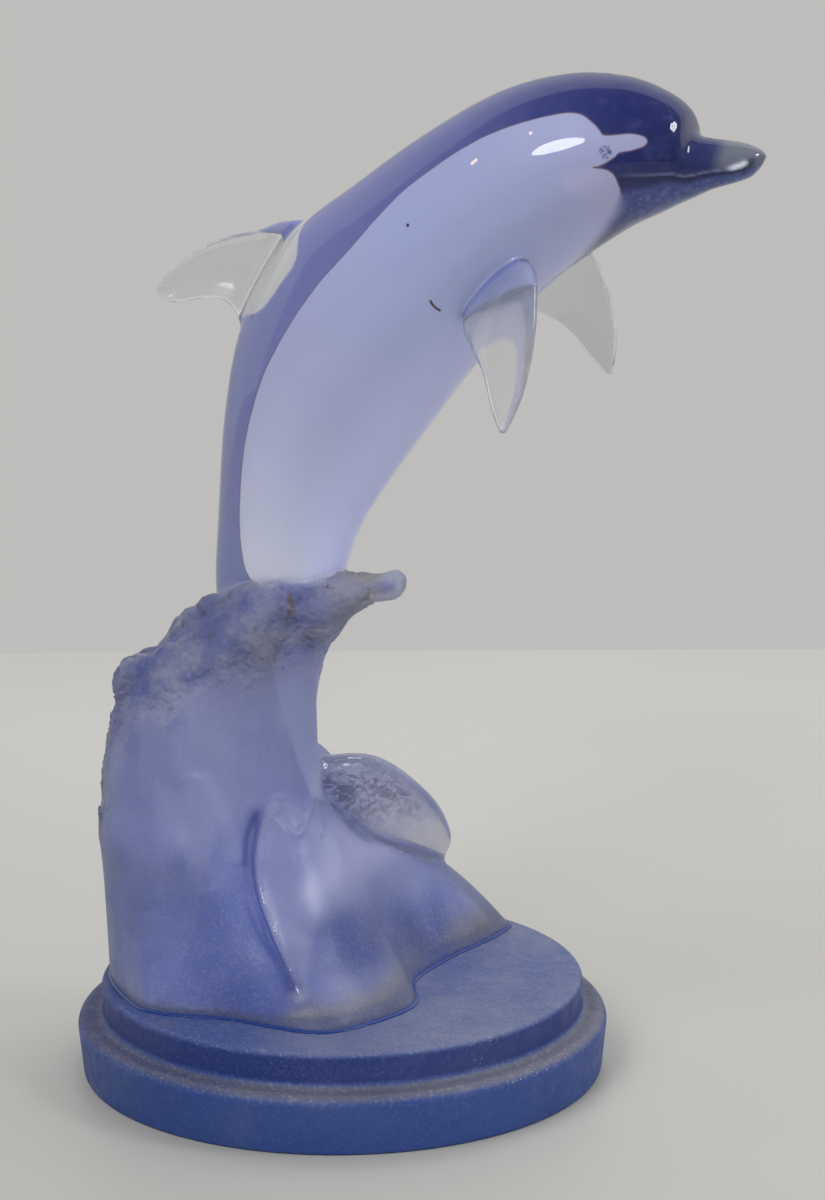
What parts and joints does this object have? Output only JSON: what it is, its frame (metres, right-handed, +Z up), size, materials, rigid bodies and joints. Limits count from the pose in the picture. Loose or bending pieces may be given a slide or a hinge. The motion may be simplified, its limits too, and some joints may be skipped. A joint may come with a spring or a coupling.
{
  "type": "dolphin statue",
  "caption": "Leaping dolphin cast in clear resin with coloured resin inside, rising from a frosted breaking wave on a stepped round plinth.",
  "frame": {"origin": "centre of the plinth's underside, on the surface that the statue stands on", "axes": "+Z up, +X the way the dolphin faces, y = 0 the dolphin's middle plane, with the near side of the picture toward -Y"},
  "size_m": [0.3166, 0.244, 0.4581],
  "materials": {
    "clear_resin": "polished clear cast resin, faintly blue, see-through, frosted by sandblasting on the wave and chipped rough at its crest",
    "opal_resin": "pale lavender opal resin sealed in the clear casting, smooth with a soft milky glow",
    "blue_resin": "deep indigo resin sealed in the clear casting, with tiny bubbles",
    "base_resin": "satin deep blue resin, sandblasted, with fine pale dust"
  },
  "bodies": {
    "root": {"dolphin_and_wave": "clear_resin", "round_base": "base_resin"}
  },
  "joints": []
}
